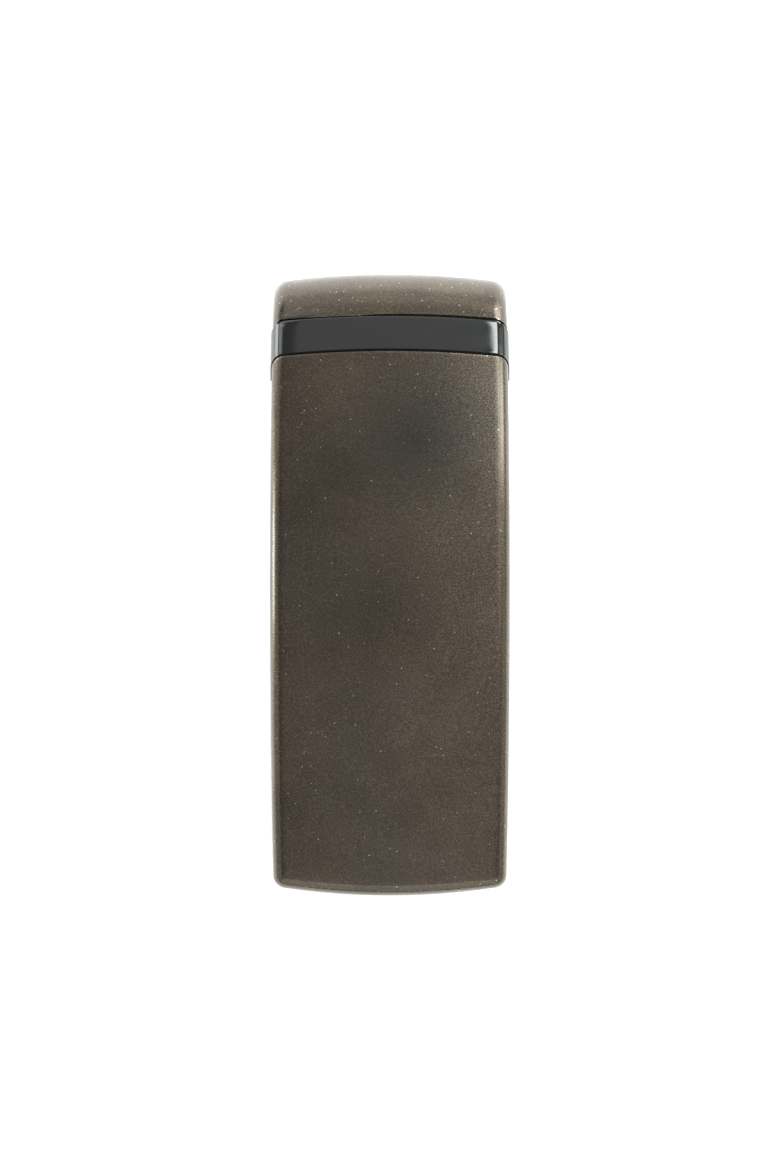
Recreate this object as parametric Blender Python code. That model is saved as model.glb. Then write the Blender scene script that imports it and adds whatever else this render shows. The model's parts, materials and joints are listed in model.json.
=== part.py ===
# Spring-loaded money clip: a rounded front body of three outer pieces, and a clamp arm behind it that
# turns on a cross pin inside the top and is pressed shut by two torsion springs.
#
# The clip lies on its back. X runs across it, Y along it with the hinge end at +Y, and Z through its
# thickness with the front face up. The origin is under the middle, on the surface it lies on.
import math

import bmesh
import bpy
from mathutils import Matrix, Vector

MM = 0.001  # every size below is in millimetres

# Outer form of the front
LENGTH = 51.92
WIDTH = 20.0
THICKNESS = 8.0
WIDEST_Y = -0.5
SIDE_ARC_RADIUS = 1136.0
TOP_END_ARC_RADIUS = 78.5
BOTTOM_END_ARC_RADIUS = 67.0
CROWN_RADIUS = 92.6
BOW_RADIUS = 400.0
BOW_CENTRE_Y = -2.0
RIM_RADIUS = 1.2
ROLL_RADIUS = 4.5
HIGH_Y = LENGTH / 2
LOW_Y = -LENGTH / 2

# Front body
FRONT_REAR_Z = 4.6
SEAM_SLANT = 0.93
UPPER_SEAM_Y = 22.36
LOWER_SEAM_Y = 19.48
SEAM_GAP = 0.12
COVER_WALL = 1.1
COVER_ROOF = 0.9
BAND_WALL = 0.95
BAND_ROOF = 0.75
BAND_PROUD = 0.08
BACK_PLATE_GAP = 0.15
BACK_PLATE_THICKNESS = 0.6
BACK_PLATE_END_Y = 17.2
PLATE_CORNER = 0.8

# Hinge
PIN_Y = 20.9
PIN_Z = 3.1
PIN_RADIUS = 0.9
PIN_CLEARANCE = 0.05
PIN_HALF_LENGTH = 9.7
CAP_REAR_Z = 0.3
BORE_RADIUS = 3.95
BORE_ROOF_Z = 5.5
CHEEK_INNER_X = 8.3
CHEEK_RADIUS = 4.6
TONGUE_THICKNESS = 0.7
TONGUE_HALF_WIDTH = 5.9
TONGUE_END_Y = 13.2
TONGUE_ROOT = 0.4

# Clamp arm
ARM_THICKNESS = 1.5
ARM_SIDE_INSET = 0.2
ARM_TIP_Y = -25.75
ARM_SHOULDER_RADIUS = 4.95
NECK_HALF_WIDTH = 8.05
NECK_THICKNESS = 1.0
HEEL_RADIUS = 3.6
HEEL_INNER_RADIUS = 2.6
HEEL_TOP_DEG = 5.0
EAR_INNER_X = 6.9
EAR_RADIUS = 2.0
EAR_FOOT_BACK = 2.6
EAR_FOOT_AHEAD = 1.8
EAR_FOOT_Z = 0.5
LIFT_START_Y = -6.0
CONTACT_Y = -18.5
CONTACT_GAP = 0.3
CONTACT_THICKNESS = 1.3
TIP_THICKNESS = 0.9
TIP_MIDDLE_Z = 2.0
TIP_ROUND_LENGTH = 1.6
TIP_ROUND_WIDTH = 2.2

# Torsion springs
WIRE_RADIUS = 0.4
COIL_RADIUS = 1.45
COIL_PITCH = 0.86
COIL_TURNS = 6.25
COIL_START_X = 0.95
COIL_LEAD_IN_TURNS = 0.1
LEG_TOP_Z = 6.0
LEG_HOLE_RADIUS = 0.5

# Screws
SCREW_HEAD_RADIUS = 1.0
SCREW_HEAD_HEIGHT = 0.45
SCREW_SHANK_RADIUS = 0.42
SCREW_HOLE_RADIUS = 0.5
SCREW_HEAD_CLEARANCE = 0.08
SCREW_SLOT_WIDTH = 0.25
SCREW_SLOT_DEPTH = 0.2
BOSS_RADIUS = 1.2
UPPER_SCREW = (4.6, 14.9)
LOWER_SCREW = (5.6, -21.0)
UPPER_SCREW_TOP_Z = 6.9
LOWER_SCREW_TOP_Z = 6.7
SCREW_HOLE_OVER = 0.15
LOWER_BOSS_CLEARANCE = 0.3
UPPER_BOSS_CLEARANCE = 0.15

# Fineness of the curved faces
COLUMNS = 10
PLAIN_STATIONS = 11
ROLL_STATIONS = 4
CORNER_STEPS = 4
RIM_STEPS = 4
ROUND_STEPS = 24
COIL_STEPS = 14

GUNMETAL = ("gunmetal", (0.115, 0.100, 0.085), 0.42, 0.9)
DARK_GUNMETAL = ("dark_gunmetal", (0.090, 0.082, 0.074), 0.38, 0.9)
BLACK_GLOSS = ("black_gloss", (0.012, 0.012, 0.012), 0.08, 0.0)
SATIN_STEEL = ("satin_steel", (0.42, 0.41, 0.39), 0.33, 1.0)
SPRING_STEEL = ("spring_steel", (0.55, 0.54, 0.52), 0.28, 1.0)


def clear_scene():
    for old in list(bpy.data.objects):
        bpy.data.objects.remove(old, do_unlink=True)


def material_of(spec):
    name, colour, roughness, metallic = spec
    material = bpy.data.materials.get(name)
    if material is None:
        material = bpy.data.materials.new(name)
        material.use_nodes = True
        shader = material.node_tree.nodes["Principled BSDF"]
        shader.inputs["Base Color"].default_value = (*colour, 1.0)
        shader.inputs["Roughness"].default_value = roughness
        shader.inputs["Metallic"].default_value = metallic
    return material


def add_object(name, bm, spec=None):
    # Turns a bmesh in millimetres into an object in metres. Without a finish it is a hidden cutter.
    bmesh.ops.scale(bm, vec=(MM, MM, MM), verts=bm.verts)
    bmesh.ops.recalc_face_normals(bm, faces=bm.faces)
    mesh = bpy.data.meshes.new(name)
    bm.to_mesh(mesh)
    bm.free()
    obj = bpy.data.objects.new(name, mesh)
    bpy.context.scene.collection.objects.link(obj)
    if spec is None:
        obj.hide_render = True
        obj.display_type = "WIRE"
    else:
        mesh.materials.append(material_of(spec))
        mesh.shade_smooth()
        mesh.set_sharp_from_angle(angle=math.radians(35))
    return obj


def boolean(target, other, operation="DIFFERENCE"):
    modifier = target.modifiers.new(other.name, "BOOLEAN")
    modifier.operation = operation
    modifier.object = other


def steps(low, high, count):
    return [low + (high - low) * i / count for i in range(count + 1)]


def half_width(y):
    return WIDTH / 2 - (y - WIDEST_Y) ** 2 / (2 * SIDE_ARC_RADIUS)


def high_end(x):
    return HIGH_Y - x**2 / (2 * TOP_END_ARC_RADIUS)


def low_end(x):
    return LOW_Y + x**2 / (2 * BOTTOM_END_ARC_RADIUS)


def face_z(x, y):
    # The crowned and gently bowed front face, which rolls over at the hinge end.
    z = THICKNESS - (y - BOW_CENTRE_Y) ** 2 / (2 * BOW_RADIUS) - x**2 / (2 * CROWN_RADIUS)
    past = ROLL_RADIUS - (high_end(x) - y)
    if past > 0:
        z -= ROLL_RADIUS - math.sqrt(max(ROLL_RADIUS**2 - past**2, 0.0))
    return z


def end_centres(shrink, radius):
    # Where the corner arcs of a plan outline have their centres: (x, y) at the low and the high end.
    low_x = half_width(LOW_Y + radius) - shrink - radius
    high_x = half_width(HIGH_Y - radius) - shrink - radius
    return (low_x, low_end(low_x) + shrink + radius), (high_x, high_end(high_x) - shrink - radius)


def long_stations(low_y, high_y):
    # Places along the side, closer together over the roll.
    found = steps(low_y, HIGH_Y - ROLL_RADIUS, PLAIN_STATIONS)
    last_angle = math.acos(1 - (HIGH_Y - high_y) / ROLL_RADIUS)
    for angle in steps(math.pi / 2, last_angle, ROLL_STATIONS)[1:]:
        found.append(HIGH_Y - ROLL_RADIUS * (1 - math.cos(angle)))
    return found


def pillow(rear_z, shrink=0.0, sink=0.0):
    # The rounded block that the outer pieces are cut from: rings of points run round the plan outline
    # and over the rim, and a grid closes the face inside them. shrink pulls its sides and ends in,
    # and sink lowers its face, for the hollow inside a wall.
    rim = RIM_RADIUS
    (low_x, low_y), (high_x, high_y) = end_centres(shrink, rim)
    ys = long_stations(low_y, high_y)
    shares = steps(-1.0, 1.0, COLUMNS)
    last_row, last_column = len(ys) - 1, len(shares) - 1
    corner = [math.pi / 2 * i / CORNER_STEPS for i in range(1, CORNER_STEPS)]

    def side(y):
        return half_width(y) - shrink

    def outline():
        # Each entry is a point, its outward direction and the grid point inside it.
        found = []
        for j, y in enumerate(ys):
            found.append((side(y), y, 1.0, 0.0, (last_column, j)))
        for a in corner:
            n = (math.cos(a), math.sin(a))
            found.append((high_x + rim * n[0], high_y + rim * n[1], *n, (last_column, last_row)))
        for i in reversed(range(last_column + 1)):
            x = high_x * shares[i]
            found.append((x, high_end(x) - shrink, 0.0, 1.0, (i, last_row)))
        for a in corner:
            n = (-math.sin(a), math.cos(a))
            found.append((-high_x + rim * n[0], high_y + rim * n[1], *n, (0, last_row)))
        for j in reversed(range(last_row + 1)):
            found.append((-side(ys[j]), ys[j], -1.0, 0.0, (0, j)))
        for a in corner:
            n = (-math.cos(a), -math.sin(a))
            found.append((-low_x + rim * n[0], low_y + rim * n[1], *n, (0, 0)))
        for i in range(last_column + 1):
            x = low_x * shares[i]
            found.append((x, low_end(x) + shrink, 0.0, -1.0, (i, 0)))
        for a in corner:
            n = (math.sin(a), -math.cos(a))
            found.append((low_x + rim * n[0], low_y + rim * n[1], *n, (last_column, 0)))
        return found

    points = outline()
    bm = bmesh.new()
    rings = [[bm.verts.new((x, y, rear_z)) for x, y, _, _, _ in points]]
    for k in range(RIM_STEPS):
        angle = math.pi / 2 * k / RIM_STEPS
        inset = rim * (1 - math.cos(angle))
        ring = []
        for x, y, nx, ny, _ in points:
            x, y = x - nx * inset, y - ny * inset
            rounded = nx**2 if ny > 0 else 1.0
            drop = rim * (1 - math.sin(angle)) * rounded
            ring.append(bm.verts.new((x, y, face_z(x, min(y, high_end(x))) - sink - drop)))
        rings.append(ring)
    grid = {}
    for j, y in enumerate(ys):
        # The rows near each end follow its curve, and the ones between even out.
        toward_high = 2 * j / last_row - 1
        low_share, high_share = max(0.0, -toward_high) ** 2, max(0.0, toward_high) ** 2
        for i, share in enumerate(shares):
            x = (side(y) - rim) * share
            at = y + (low_end(x) - low_end(low_x)) * low_share
            at += (high_end(x) - high_end(high_x)) * high_share
            grid[i, j] = bm.verts.new((x, at, face_z(x, at) - sink))
    count = len(points)
    for low, high in zip(rings, rings[1:]):
        for n in range(count):
            bm.faces.new((low[n], low[(n + 1) % count], high[(n + 1) % count], high[n]))
    for n in range(count):
        a, b = points[n][4], points[(n + 1) % count][4]
        near = [rings[-1][n], rings[-1][(n + 1) % count]]
        bm.faces.new(near + ([grid[a]] if a == b else [grid[b], grid[a]]))
    for j in range(last_row):
        for i in range(last_column):
            bm.faces.new((grid[i, j], grid[i + 1, j], grid[i + 1, j + 1], grid[i, j + 1]))
    bm.faces.new(list(reversed(rings[0])))
    bmesh.ops.remove_doubles(bm, verts=bm.verts, dist=1e-5)
    return bm


def cut_at_seam(bm, seam_y, shift, keep_high):
    # Cuts a block along a slanted seam and closes the cut. The seam runs back and down from the face.
    normal = Vector((0, 1, -SEAM_SLANT)).normalized()
    point = Vector((0, seam_y, face_z(0, seam_y))) + normal * shift
    direction = -normal if keep_high else normal
    geometry = bm.verts[:] + bm.edges[:] + bm.faces[:]
    cut = bmesh.ops.bisect_plane(
        bm, geom=geometry, plane_co=point, plane_no=direction, clear_outer=True
    )
    edges = [e for e in cut["geom_cut"] if isinstance(e, bmesh.types.BMEdge)]
    bmesh.ops.edgeloop_fill(bm, edges=edges)


def extruded(profile, x_low, x_high):
    # A profile of (y, z) points carried across X.
    bm = bmesh.new()
    low = [bm.verts.new((x_low, y, z)) for y, z in profile]
    high = [bm.verts.new((x_high, y, z)) for y, z in profile]
    count = len(profile)
    for n in range(count):
        m = (n + 1) % count
        bm.faces.new((low[n], low[m], high[m], high[n]))
    bm.faces.new(list(reversed(low)))
    bm.faces.new(high)
    return bm


def box(x0, x1, y0, y1, z0, z1):
    return extruded([(y0, z0), (y1, z0), (y1, z1), (y0, z1)], x0, x1)


def turned(profile, centre, segments=ROUND_STEPS):
    # A profile of (radius, z) points turned about a vertical line. Both its ends lie on the line.
    bm = bmesh.new()
    rings = []
    for radius, z in profile:
        if radius == 0:
            rings.append([bm.verts.new((*centre, z))])
            continue
        angles = [2 * math.pi * n / segments for n in range(segments)]
        ring = [(centre[0] + radius * math.cos(a), centre[1] + radius * math.sin(a), z) for a in angles]
        rings.append([bm.verts.new(place) for place in ring])
    for low, high in zip(rings, rings[1:]):
        for n in range(segments):
            m = (n + 1) % segments
            corners = [low[n % len(low)], low[m % len(low)], high[m % len(high)], high[n % len(high)]]
            bm.faces.new(list(dict.fromkeys(corners)))
    return bm


def rod(radius, z0, z1, centre, segments=ROUND_STEPS):
    return turned([(0, z0), (radius, z0), (radius, z1), (0, z1)], centre, segments)


def cross_rod(radius, x0, x1, y, z, segments=ROUND_STEPS):
    bm = rod(radius, x0, x1, (0, 0), segments)
    turn = Matrix(((0, 0, 1), (1, 0, 0), (0, 1, 0))).to_4x4()
    bmesh.ops.transform(bm, matrix=Matrix.Translation((0, y, z)) @ turn, verts=bm.verts)
    return bm


def pin_arc(radius, from_deg, to_deg, count):
    # Points on a circle about the pin, measured from +Y towards +Z.
    angles = [math.radians(a) for a in steps(from_deg, to_deg, count)]
    return [(PIN_Y + radius * math.cos(a), PIN_Z + radius * math.sin(a)) for a in angles]


def screw_places():
    named = (("upper", UPPER_SCREW), ("lower", LOWER_SCREW))
    sides = (("left", -1), ("right", 1))
    return [(f"{row}_{side}", row, (sign * x, y)) for row, (x, y) in named for side, sign in sides]


def make_front_cover():
    bm = pillow(FRONT_REAR_Z)
    cut_at_seam(bm, LOWER_SEAM_Y, -SEAM_GAP / 2, keep_high=False)
    cover = add_object("front_cover", bm, GUNMETAL)
    boolean(cover, add_object("cover_hollow", pillow(FRONT_REAR_Z - 2, COVER_WALL, COVER_ROOF)))
    for label, row, place in screw_places():
        if row == "lower":
            bottom = FRONT_REAR_Z + BACK_PLATE_THICKNESS + LOWER_BOSS_CLEARANCE
            hole_top = LOWER_SCREW_TOP_Z
        else:
            bottom = BORE_ROOF_Z + TONGUE_THICKNESS + UPPER_BOSS_CLEARANCE
            hole_top = UPPER_SCREW_TOP_Z
        roof = face_z(*place) - COVER_ROOF / 2
        boss = add_object(f"boss_{label}", rod(BOSS_RADIUS, bottom, roof, place))
        boolean(cover, boss, "UNION")
        hole = rod(SCREW_HOLE_RADIUS, bottom - 1, hole_top + SCREW_HOLE_OVER, place)
        boolean(cover, add_object(f"boss_hole_{label}", hole))
    return cover


def make_accent_band():
    bm = pillow(FRONT_REAR_Z, -BAND_PROUD, 0.0)
    cut_at_seam(bm, UPPER_SEAM_Y, -SEAM_GAP / 2, keep_high=False)
    cut_at_seam(bm, LOWER_SEAM_Y, SEAM_GAP / 2, keep_high=True)
    band = add_object("accent_band", bm, BLACK_GLOSS)
    boolean(band, add_object("band_hollow", pillow(FRONT_REAR_Z - 2, BAND_WALL, BAND_ROOF)))
    return band


def make_top_cap():
    bm = pillow(CAP_REAR_Z)
    cut_at_seam(bm, UPPER_SEAM_Y, SEAM_GAP / 2, keep_high=True)
    cap = add_object("top_cap", bm, GUNMETAL)
    tongue_top = BORE_ROOF_Z + TONGUE_THICKNESS
    half = TONGUE_HALF_WIDTH
    tongue = box(-half, half, TONGUE_END_Y, UPPER_SEAM_Y + TONGUE_ROOT, BORE_ROOF_Z, tongue_top)
    boolean(cap, add_object("tongue", tongue), "UNION")
    # The bore that the arm's heel turns in, open towards the arm.
    roof_deg = math.degrees(math.asin((BORE_ROOF_Z - PIN_Z) / BORE_RADIUS))
    bore = pin_arc(BORE_RADIUS, -90, roof_deg, 14)
    bore += [(TONGUE_END_Y - 1, BORE_ROOF_Z), (TONGUE_END_Y - 1, PIN_Z - BORE_RADIUS)]
    boolean(cap, add_object("cap_bore", extruded(bore, -CHEEK_INNER_X, CHEEK_INNER_X)))
    # The cheeks end in an arc about the pin, so that the arm's shoulders pass them.
    corner = pin_arc(CHEEK_RADIUS, 270, 180, 10)
    outside_y, under_z = PIN_Y - 2 * CHEEK_RADIUS, PIN_Z - 2 * CHEEK_RADIUS
    corner += [(outside_y, PIN_Z), (outside_y, under_z), (PIN_Y, under_z)]
    boolean(cap, add_object("cheek_corner", extruded(corner, -WIDTH, WIDTH)))
    pin_hole = cross_rod(PIN_RADIUS + PIN_CLEARANCE, -WIDTH, WIDTH, PIN_Y, PIN_Z)
    boolean(cap, add_object("pin_hole", pin_hole))
    for label, row, place in screw_places():
        if row == "upper":
            hole = rod(SCREW_HOLE_RADIUS, BORE_ROOF_Z - 1, tongue_top + 1, place)
            boolean(cap, add_object(f"tongue_hole_{label}", hole))
    for side in (-1, 1):
        place = (side * COIL_START_X, PIN_Y - COIL_RADIUS)
        hole = rod(LEG_HOLE_RADIUS, BORE_ROOF_Z - 1, tongue_top + 1, place)
        boolean(cap, add_object(f"leg_hole_{side}", hole))
    return cap


def make_back_plate():
    # A flat plate that follows the inside of the cover's walls.
    inset, corner = COVER_WALL + BACK_PLATE_GAP, PLATE_CORNER
    (low_x, low_y), _ = end_centres(inset, corner)
    high_y = BACK_PLATE_END_Y - corner
    high_x = half_width(high_y) - inset - corner
    outline = [(half_width(y) - inset, y) for y in steps(low_y, high_y, 8)]
    quarter = steps(0, math.pi / 2, 4)[1:]
    outline += [(high_x + corner * math.cos(a), high_y + corner * math.sin(a)) for a in quarter]
    outline += [(-x, y) for x, y in reversed(outline)]
    for a in quarter[:-1]:
        outline.append((-low_x - corner * math.cos(a), low_y - corner * math.sin(a)))
    outline += [(x, low_end(x) + inset) for x in steps(-low_x, low_x, 6)]
    for a in reversed(quarter[:-1]):
        outline.append((low_x + corner * math.cos(a), low_y - corner * math.sin(a)))
    bm = bmesh.new()
    top_z = FRONT_REAR_Z + BACK_PLATE_THICKNESS
    lower = [bm.verts.new((x, y, FRONT_REAR_Z)) for x, y in outline]
    upper = [bm.verts.new((x, y, top_z)) for x, y in outline]
    count = len(outline)
    for n in range(count):
        m = (n + 1) % count
        bm.faces.new((lower[n], lower[m], upper[m], upper[n]))
    bm.faces.new(list(reversed(lower)))
    bm.faces.new(upper)
    plate = add_object("back_plate", bm, SATIN_STEEL)
    wide = SCREW_HEAD_RADIUS + SCREW_HEAD_CLEARANCE
    cone_top = FRONT_REAR_Z + SCREW_HEAD_HEIGHT
    for label, _, place in screw_places():
        outer = wide + (wide - SCREW_HOLE_RADIUS) / SCREW_HEAD_HEIGHT
        profile = [
            (0, FRONT_REAR_Z - 1),
            (outer, FRONT_REAR_Z - 1),
            (SCREW_HOLE_RADIUS, cone_top),
            (SCREW_HOLE_RADIUS, top_z + 1),
            (0, top_z + 1),
        ]
        boolean(plate, add_object(f"countersink_{label}", turned(profile, place)))
    return plate


def make_screws():
    for label, row, place in screw_places():
        top = LOWER_SCREW_TOP_Z if row == "lower" else UPPER_SCREW_TOP_Z
        profile = [
            (0, FRONT_REAR_Z),
            (SCREW_HEAD_RADIUS, FRONT_REAR_Z),
            (SCREW_SHANK_RADIUS, FRONT_REAR_Z + SCREW_HEAD_HEIGHT),
            (SCREW_SHANK_RADIUS, top),
            (0, top),
        ]
        screw = add_object(f"plate_screw_{label}", turned(profile, place), SATIN_STEEL)
        half, reach = SCREW_SLOT_WIDTH / 2, 2 * SCREW_HEAD_RADIUS
        slot = box(
            place[0] - reach,
            place[0] + reach,
            place[1] - half,
            place[1] + half,
            FRONT_REAR_Z - 1,
            FRONT_REAR_Z + SCREW_SLOT_DEPTH,
        )
        boolean(screw, add_object(f"slot_{label}", slot))


def make_hinge_pin():
    bm = cross_rod(PIN_RADIUS, -PIN_HALF_LENGTH, PIN_HALF_LENGTH, PIN_Y, PIN_Z)
    return add_object("hinge_pin", bm, SATIN_STEEL)


def eased(t):
    return t * t * (3 - 2 * t)


def arm_middle(y):
    # Height of the arm's middle: level, then up to the line that grips, then away again at the tip.
    level = ARM_THICKNESS / 2
    grip = FRONT_REAR_Z - CONTACT_GAP - CONTACT_THICKNESS / 2
    if y > LIFT_START_Y:
        return level
    if y > CONTACT_Y:
        return level + (grip - level) * eased((LIFT_START_Y - y) / (LIFT_START_Y - CONTACT_Y))
    share = (CONTACT_Y - y) / (CONTACT_Y - ARM_TIP_Y)
    return grip + (TIP_MIDDLE_Z - grip) * share**2


def arm_thickness(y):
    if y > LIFT_START_Y:
        return ARM_THICKNESS
    if y > CONTACT_Y:
        share = (LIFT_START_Y - y) / (LIFT_START_Y - CONTACT_Y)
        return ARM_THICKNESS + (CONTACT_THICKNESS - ARM_THICKNESS) * share
    share = (CONTACT_Y - y) / (CONTACT_Y - ARM_TIP_Y)
    return CONTACT_THICKNESS + (TIP_THICKNESS - CONTACT_THICKNESS) * share


def arm_leaf():
    # Cross-sections along Y. The upper and lower faces share their places, so the sides are quads.
    shoulder = pin_arc(ARM_SHOULDER_RADIUS, 180, 270, 90)
    inner_end = next(y for y, z in shoulder if z <= ARM_THICKNESS)
    outer_end = next(y for y, z in shoulder if z <= 0)
    ys = steps(inner_end, LIFT_START_Y, 4)[:-1]
    ys += steps(LIFT_START_Y, CONTACT_Y, 8)[:-1] + steps(CONTACT_Y, ARM_TIP_Y + TIP_ROUND_LENGTH, 4)
    tip_angles = steps(0, math.pi / 2, 5)[1:]
    tip_start = ys[-1]
    reach = tip_start - ARM_TIP_Y
    tip = [(tip_start - reach * math.sin(a), TIP_ROUND_WIDTH * (1 - math.cos(a))) for a in tip_angles]
    sections = [(y, half_width(y) - ARM_SIDE_INSET) for y in ys]
    sections += [(y, half_width(y) - ARM_SIDE_INSET - pull) for y, pull in tip]
    bm = bmesh.new()
    rows = []
    for index, (y, half) in enumerate(sections):
        row = []
        for share in steps(-1, 1, 4):
            x = half * share
            bent = x**2 / (2 * BOTTOM_END_ARC_RADIUS) * max(0.0, (CONTACT_Y - y) / (CONTACT_Y - ARM_TIP_Y))
            low_y = outer_end if index == 0 else y + bent
            middle, thick = arm_middle(y), arm_thickness(y)
            low = bm.verts.new((x, low_y, middle - thick / 2))
            high = bm.verts.new((x, y + bent, middle + thick / 2))
            row.append((low, high))
        rows.append(row)
    for near, far in zip(rows, rows[1:]):
        for a, b, c, d in zip(near, near[1:], far[1:], far):
            bm.faces.new((a[0], b[0], c[0], d[0]))
            bm.faces.new((a[1], d[1], c[1], b[1]))
        for n in (0, -1):
            bm.faces.new((near[n][0], near[n][1], far[n][1], far[n][0]))
    for row in (rows[0], rows[-1]):
        for a, b in zip(row, row[1:]):
            bm.faces.new((a[0], a[1], b[1], b[0]))
    return bm


def make_clamp_arm():
    arm = add_object("clamp_arm", arm_leaf(), DARK_GUNMETAL)
    # The neck passes under the springs between the cheeks and ends in the rounded heel.
    flat_deg = -math.degrees(math.acos(PIN_Z / HEEL_RADIUS))
    neck = [(PIN_Y - ARM_SHOULDER_RADIUS, 0.0)]
    neck += pin_arc(HEEL_RADIUS, -90 - flat_deg, HEEL_TOP_DEG, 10)
    inner_deg = -math.degrees(math.asin((PIN_Z - NECK_THICKNESS) / HEEL_INNER_RADIUS))
    neck += pin_arc(HEEL_INNER_RADIUS, HEEL_TOP_DEG, inner_deg, 8)
    neck.append((PIN_Y - ARM_SHOULDER_RADIUS, NECK_THICKNESS))
    half = NECK_HALF_WIDTH
    boolean(arm, add_object("arm_neck", extruded(neck, -half, half)), "UNION")
    for side in (-1, 1):
        ear = [(PIN_Y - EAR_FOOT_BACK, EAR_FOOT_Z), (PIN_Y + EAR_FOOT_AHEAD, EAR_FOOT_Z)]
        ear += pin_arc(EAR_RADIUS, -15, 200, 16)
        ends = sorted((side * EAR_INNER_X, side * NECK_HALF_WIDTH))
        boolean(arm, add_object(f"arm_ear_{side}", extruded(ear, *ends)), "UNION")
        places = sorted((side * (EAR_INNER_X - 1), side * (NECK_HALF_WIDTH + 1)))
        hole = cross_rod(PIN_RADIUS + PIN_CLEARANCE, *places, PIN_Y, PIN_Z)
        boolean(arm, add_object(f"ear_hole_{side}", hole))
    return arm


def make_spring(name, side):
    # From its leg in the tongue's hole the wire comes down and winds outwards about the pin.
    y, z = PIN_Y - COIL_RADIUS, PIN_Z
    places = [(COIL_START_X, y, height) for height in steps(LEG_TOP_Z, z, 4)[:-1]]
    count = round(COIL_TURNS * COIL_STEPS)
    for n in range(count + 1):
        turn = n / COIL_STEPS
        angle = math.pi + 2 * math.pi * turn
        x = COIL_START_X + COIL_PITCH * max(0.0, turn - COIL_LEAD_IN_TURNS)
        places.append((x, PIN_Y + COIL_RADIUS * math.cos(angle), PIN_Z + COIL_RADIUS * math.sin(angle)))
    curve = bpy.data.curves.new(name, "CURVE")
    curve.dimensions = "3D"
    curve.bevel_depth = WIRE_RADIUS * MM
    curve.bevel_resolution = 2
    curve.use_fill_caps = True
    spline = curve.splines.new("POLY")
    spline.points.add(len(places) - 1)
    for point, (x, y, z) in zip(spline.points, places):
        point.co = (side * x * MM, y * MM, z * MM, 1.0)
    curve.materials.append(material_of(SPRING_STEEL))
    spring = bpy.data.objects.new(name, curve)
    bpy.context.scene.collection.objects.link(spring)
    return spring


def hang_on_pin(obj):
    # Gives the moving arm an empty on the pin's axis as its parent, and leaves it where it is.
    hinge = bpy.data.objects.new("hinge_axis", None)
    hinge.location = (0, PIN_Y * MM, PIN_Z * MM)
    hinge.empty_display_size = 5 * MM
    bpy.context.scene.collection.objects.link(hinge)
    obj.parent = hinge
    obj.matrix_parent_inverse = Matrix.Translation(hinge.location).inverted()


clear_scene()
make_front_cover()
make_accent_band()
make_top_cap()
make_back_plate()
make_screws()
make_hinge_pin()
make_spring("torsion_spring_left", -1)
make_spring("torsion_spring_right", 1)
hang_on_pin(make_clamp_arm())
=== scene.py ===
# A money clip: rounded gunmetal front with a gloss black band across it, and a sprung arm behind.
# It lies face up, hinge end at +Y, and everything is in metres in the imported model's own frame.
import json
import math
import bmesh
import bpy
from mathutils import Matrix, Vector

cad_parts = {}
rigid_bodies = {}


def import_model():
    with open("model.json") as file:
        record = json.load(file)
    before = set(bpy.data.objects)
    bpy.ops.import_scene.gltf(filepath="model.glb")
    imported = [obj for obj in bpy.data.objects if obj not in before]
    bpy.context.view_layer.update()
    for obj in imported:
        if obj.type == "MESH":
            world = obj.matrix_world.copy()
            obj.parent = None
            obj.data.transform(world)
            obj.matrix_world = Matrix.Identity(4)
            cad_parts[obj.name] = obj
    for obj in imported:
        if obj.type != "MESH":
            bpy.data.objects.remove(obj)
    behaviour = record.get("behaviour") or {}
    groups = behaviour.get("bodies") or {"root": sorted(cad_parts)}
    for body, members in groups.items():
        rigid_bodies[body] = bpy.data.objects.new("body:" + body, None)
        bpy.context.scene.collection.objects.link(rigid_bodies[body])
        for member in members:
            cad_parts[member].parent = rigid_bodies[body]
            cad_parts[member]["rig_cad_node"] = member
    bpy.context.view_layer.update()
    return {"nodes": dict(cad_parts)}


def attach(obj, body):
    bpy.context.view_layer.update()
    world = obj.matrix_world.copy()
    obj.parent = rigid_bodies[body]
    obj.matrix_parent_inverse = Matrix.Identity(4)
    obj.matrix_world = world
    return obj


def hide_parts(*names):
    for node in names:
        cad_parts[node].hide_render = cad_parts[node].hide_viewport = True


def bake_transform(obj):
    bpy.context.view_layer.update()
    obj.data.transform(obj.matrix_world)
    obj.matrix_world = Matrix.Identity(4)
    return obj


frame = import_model()
mm = 0.001
flat = 0.005 * mm  # a face this near a plane lies in it
close = 0.01 * mm  # an edge this near a place is at it
parallel = 0.999  # two unit normals whose product is above this point the same way
outside = 12 * mm  # X beyond the body's sides, for cutters that run right through
farOutside = 14 * mm
print("frame loaded, nodes:", ", ".join(sorted(frame["nodes"])))


# small helpers: selecting in code, then the ordinary operators

def selectOnly(piece):
    if bpy.context.mode != "OBJECT":
        bpy.ops.object.mode_set(mode="OBJECT")
    bpy.ops.object.select_all(action="DESELECT")
    piece.select_set(True)
    bpy.context.view_layer.objects.active = piece


def pick(piece, kind, test):
    # into edit mode with just the faces, edges or verts that pass the test
    selectOnly(piece)
    bpy.ops.object.mode_set(mode="EDIT")
    bpy.ops.mesh.select_mode(type={"verts": "VERT", "edges": "EDGE", "faces": "FACE"}[kind])
    bpy.ops.mesh.select_all(action="DESELECT")
    shape = bmesh.from_edit_mesh(piece.data)
    for part in getattr(shape, kind):
        if test(part):
            part.select_set(True)
    shape.select_flush_mode()
    bmesh.update_edit_mesh(piece.data)


def leaveEdit():
    bpy.ops.object.mode_set(mode="OBJECT")


def edgeMiddle(edge):
    return (edge.verts[0].co + edge.verts[1].co) / 2


def isCorner(edge, degrees=60):
    return len(edge.link_faces) == 2 and edge.calc_face_angle(0.0) > math.radians(degrees)


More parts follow.
